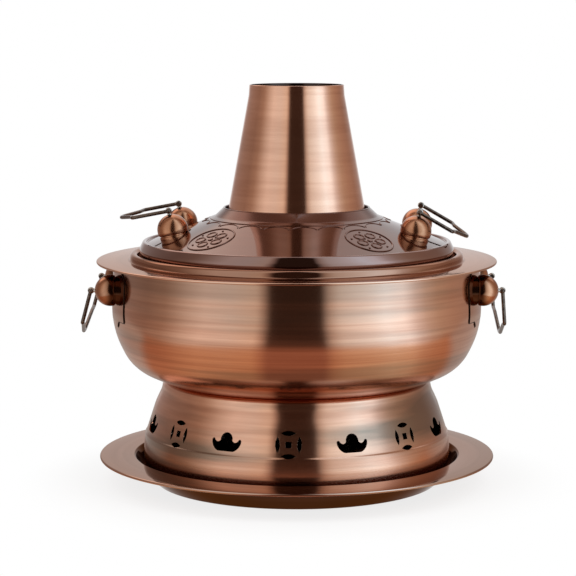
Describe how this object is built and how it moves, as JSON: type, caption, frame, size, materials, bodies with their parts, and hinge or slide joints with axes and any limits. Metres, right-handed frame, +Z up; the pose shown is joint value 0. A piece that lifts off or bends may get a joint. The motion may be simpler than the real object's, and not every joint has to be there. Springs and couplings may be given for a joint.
{
  "type": "chimney hot pot",
  "caption": "Charcoal hot pot: a round bowl on a vented base and drip tray, with a fire tube, a chimney and a ring-shaped lid, knobs and swinging wire bails.",
  "frame": {"origin": "centre of the tray's flat underside", "axes": "+Z up along the chimney, -Y towards the front, +X towards the right-hand knobs and bails"},
  "size_m": [0.3634, 0.3446, 0.343],
  "materials": {
    "brushed_copper": "copper-plated steel, brushed round the axis",
    "polished_copper": "copper-plated steel, polished nearly to a mirror",
    "inner_copper": "copper-plated steel, lightly brushed",
    "grate_iron": "rough sand-cast",
    "bail_bronze": "dark bronze wire, worn satin",
    "eye_metal": "bright pewter-like plating",
    "screw_steel": "bright zinc plating",
    "washer_rubber": "matt silicone rubber"
  },
  "bodies": {
    "tray": {"tray": "polished_copper"},
    "pot": {"base": "brushed_copper", "bowl": "brushed_copper", "rim_ring": "polished_copper", "fire_tube": "inner_copper", "fire_drum": "inner_copper", "side_plate_right_front": "polished_copper", "side_plate_right_rear": "polished_copper", "side_plate_left_front": "polished_copper", "side_plate_left_rear": "polished_copper", "side_knob_right_front": "polished_copper", "side_knob_right_rear": "polished_copper", "side_knob_left_front": "polished_copper", "side_knob_left_rear": "polished_copper", "side_eye_right_front": "eye_metal", "side_eye_right_rear": "eye_metal", "side_eye_left_front": "eye_metal", "side_eye_left_rear": "eye_metal", "side_knob_screws": "screw_steel", "side_knob_washers": "washer_rubber"},
    "grate": {"coal_grate": "grate_iron"},
    "chimney": {"chimney": "brushed_copper"},
    "lid": {"lid": "polished_copper", "lid_collar": "polished_copper", "lid_knob_right_front": "polished_copper", "lid_knob_right_rear": "polished_copper", "lid_knob_left_front": "polished_copper", "lid_knob_left_rear": "polished_copper", "lid_eye_right_front": "eye_metal", "lid_eye_right_rear": "eye_metal", "lid_eye_left_front": "eye_metal", "lid_eye_left_rear": "eye_metal", "lid_knob_screws": "screw_steel", "lid_knob_washers": "washer_rubber"},
    "lid_bail_right": {"lid_bail_right": "bail_bronze"},
    "lid_bail_left": {"lid_bail_left": "bail_bronze"},
    "side_bail_right": {"side_bail_right": "bail_bronze"},
    "side_bail_left": {"side_bail_left": "bail_bronze"}
  },
  "joints": [
    {"name": "pot_lift", "type": "slide", "parent": "tray", "child": "pot", "axis": [0, 0, 1], "range_m": [0, 0.1]},
    {"name": "grate_lift", "type": "slide", "parent": "pot", "child": "grate", "axis": [0, 0, 1], "range_m": [0, 0.21]},
    {"name": "chimney_lift", "type": "slide", "parent": "pot", "child": "chimney", "axis": [0, 0, 1], "range_m": [0, 0.15]},
    {"name": "lid_lift", "type": "slide", "parent": "pot", "child": "lid", "axis": [0, 0, 1], "range_m": [0, 0.16]},
    {"name": "lid_bail_right_swing", "type": "hinge", "parent": "lid", "child": "lid_bail_right", "pos_m": [0.10624, -0.00743, 0.23708], "axis": [-0.0698, -0.9976, 0], "range_deg": [-7, 204]},
    {"name": "lid_bail_left_swing", "type": "hinge", "parent": "lid", "child": "lid_bail_left", "pos_m": [-0.10624, 0.00743, 0.23708], "axis": [0.0698, 0.9976, 0], "range_deg": [-26, 185]},
    {"name": "side_bail_right_swing", "type": "hinge", "parent": "pot", "child": "side_bail_right", "pos_m": [0.1731, 0, 0.172], "axis": [0, -1, 0], "range_deg": [-22, 193]},
    {"name": "side_bail_left_swing", "type": "hinge", "parent": "pot", "child": "side_bail_left", "pos_m": [-0.1731, 0, 0.172], "axis": [0, 1, 0], "range_deg": [-33, 182]}
  ]
}
